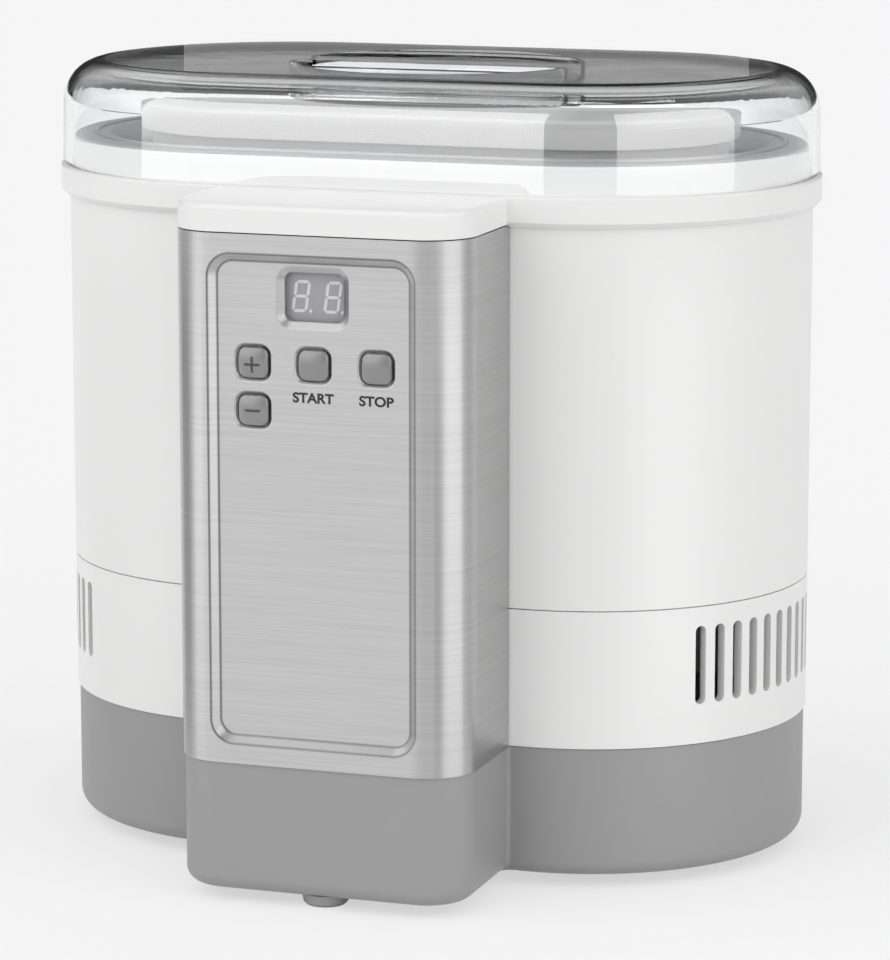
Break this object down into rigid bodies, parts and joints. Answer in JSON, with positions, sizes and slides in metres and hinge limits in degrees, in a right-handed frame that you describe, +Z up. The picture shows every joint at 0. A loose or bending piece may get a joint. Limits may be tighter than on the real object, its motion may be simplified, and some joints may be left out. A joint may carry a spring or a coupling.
{
  "type": "yogurt maker",
  "caption": "Stadium-shaped countertop yogurt maker: clear lift-off lid, lidded pot in a heated and cooled well, air slots at both ends and a brushed steel control column.",
  "frame": {"origin": "on the floor under the middle of the whole footprint", "axes": "+Z up, -Y the front with the control column, +X the viewer's right"},
  "size_m": [0.266, 0.203, 0.266],
  "materials": {
    "white_plastic": "satin",
    "grey_plastic": "satin",
    "steel_sheet": "satin",
    "clear_plastic": "gloss",
    "pot_plastic": "satin",
    "aluminium": "satin",
    "tub_metal": "satin",
    "button_plastic": "gloss",
    "lens_plastic": "gloss",
    "led_module": "matte",
    "rubber": "matte",
    "foam": "matte",
    "circuit_board": "satin",
    "dark_plastic": "matte",
    "screw_steel": "satin",
    "heater_foil": "satin",
    "ceramic_plate": "matte",
    "capacitor_can": "gloss",
    "ribbon": "matte"
  },
  "bodies": {
    "housing": {"base_tray": "grey_plastic", "feet": "rubber", "base_screws": "screw_steel", "vent_band": "white_plastic", "upper_shell": "white_plastic", "top_rim": "white_plastic", "column_cladding": "steel_sheet", "column_frame": "dark_plastic", "display_lens": "lens_plastic", "led_display": "led_module", "control_board": "circuit_board", "board_screws": "screw_steel", "tact_switches": "dark_plastic", "power_board": "circuit_board", "power_transformer": "dark_plastic", "power_capacitors": "capacitor_can", "ribbon_cable": "ribbon", "cord_grommet": "rubber", "well_liner": "tub_metal", "heater_band": "heater_foil", "insulation": "foam", "temperature_sensor": "dark_plastic", "cold_block": "aluminium", "thermoelectric_module": "ceramic_plate", "heat_sink": "aluminium", "clamp_screws": "screw_steel", "fan_frame": "dark_plastic", "fan_stator": "dark_plastic", "fan_screws": "screw_steel"},
    "plus_button": {"plus_button": "button_plastic"},
    "minus_button": {"minus_button": "button_plastic"},
    "start_button": {"start_button": "button_plastic"},
    "stop_button": {"stop_button": "button_plastic"},
    "container": {"yogurt_container": "pot_plastic"},
    "container_lid": {"container_lid": "pot_plastic"},
    "outer_lid": {"outer_lid": "clear_plastic"},
    "fan_rotor": {"fan_rotor": "dark_plastic"}
  },
  "joints": [
    {"name": "plus_press", "type": "slide", "parent": "housing", "child": "plus_button", "axis": [0, 1, 0], "range_m": [0, 0.0008], "stiffness_N_per_m": 1500},
    {"name": "minus_press", "type": "slide", "parent": "housing", "child": "minus_button", "axis": [0, 1, 0], "range_m": [0, 0.0008], "stiffness_N_per_m": 1500},
    {"name": "start_press", "type": "slide", "parent": "housing", "child": "start_button", "axis": [0, 1, 0], "range_m": [0, 0.0008], "stiffness_N_per_m": 1500},
    {"name": "stop_press", "type": "slide", "parent": "housing", "child": "stop_button", "axis": [0, 1, 0], "range_m": [0, 0.0008], "stiffness_N_per_m": 1500},
    {"name": "container_lift", "type": "slide", "parent": "housing", "child": "container", "axis": [0, 0, 1], "range_m": [0, 0.15]},
    {"name": "container_lid_lift", "type": "slide", "parent": "container", "child": "container_lid", "axis": [0, 0, 1], "range_m": [0, 0.06]},
    {"name": "outer_lid_lift", "type": "slide", "parent": "container_lid", "child": "outer_lid", "axis": [0, 0, 1], "range_m": [0, 0.08]},
    {"name": "fan_spin", "type": "hinge", "parent": "housing", "child": "fan_rotor", "pos_m": [-0.062, 0.0235, 0.085], "axis": [1, 0, 0], "continuous": true}
  ]
}
